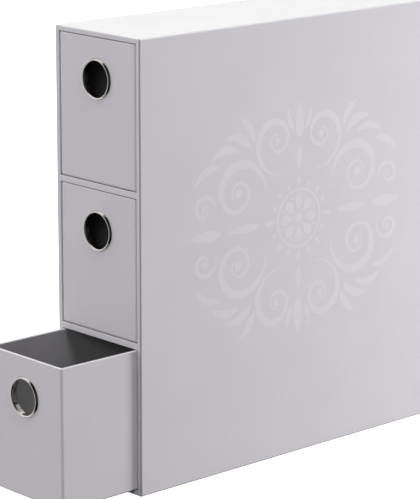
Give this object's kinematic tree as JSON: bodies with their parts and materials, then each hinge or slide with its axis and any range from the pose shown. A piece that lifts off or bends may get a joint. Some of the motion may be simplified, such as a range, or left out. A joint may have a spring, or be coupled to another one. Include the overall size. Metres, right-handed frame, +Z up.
{
  "type": "card drawer box",
  "caption": "Tall narrow board box wrapped in satin paper, with stacked drawers that slide out of its front by round metal-rimmed finger holes. Each drawer is lined and holds a row of cards.",
  "frame": {"origin": "middle of the casing's flat underside, on the plane that the box stands on", "axes": "+X across the width, to the right seen from the front; +Y from the drawer fronts towards the back; +Z up. The drawers come out along -Y."},
  "size_m": [0.087, 0.3671, 0.3156],
  "materials": {
    "wrap": "satin",
    "lining": "matte",
    "rim_metal": "polished"
  },
  "bodies": {
    "casing": {"casing_top_board": "wrap", "casing_right_board": "wrap", "casing_bottom_board": "wrap", "casing_left_board": "wrap", "casing_back_board": "wrap", "lower_shelf_board": "wrap", "upper_shelf_board": "wrap"},
    "bottom_drawer": {"bottom_drawer_front_board": "wrap", "bottom_drawer_right_board": "wrap", "bottom_drawer_back_board": "wrap", "bottom_drawer_left_board": "wrap", "bottom_drawer_floor_board": "wrap", "bottom_drawer_lining": "lining", "bottom_drawer_eyelet": "rim_metal", "bottom_drawer_eyelet_washer": "rim_metal"},
    "middle_drawer": {"middle_drawer_front_board": "wrap", "middle_drawer_right_board": "wrap", "middle_drawer_back_board": "wrap", "middle_drawer_left_board": "wrap", "middle_drawer_floor_board": "wrap", "middle_drawer_lining": "lining", "middle_drawer_eyelet": "rim_metal", "middle_drawer_eyelet_washer": "rim_metal"},
    "top_drawer": {"top_drawer_front_board": "wrap", "top_drawer_right_board": "wrap", "top_drawer_back_board": "wrap", "top_drawer_left_board": "wrap", "top_drawer_floor_board": "wrap", "top_drawer_lining": "lining", "top_drawer_eyelet": "rim_metal", "top_drawer_eyelet_washer": "rim_metal"}
  },
  "joints": [
    {"name": "bottom_drawer_slide", "type": "slide", "parent": "casing", "child": "bottom_drawer", "axis": [0, -1, 0], "range_m": [-0.0655, 0.2365]},
    {"name": "middle_drawer_slide", "type": "slide", "parent": "casing", "child": "middle_drawer", "axis": [0, -1, 0], "range_m": [0, 0.302]},
    {"name": "top_drawer_slide", "type": "slide", "parent": "casing", "child": "top_drawer", "axis": [0, -1, 0], "range_m": [0, 0.302]}
  ]
}
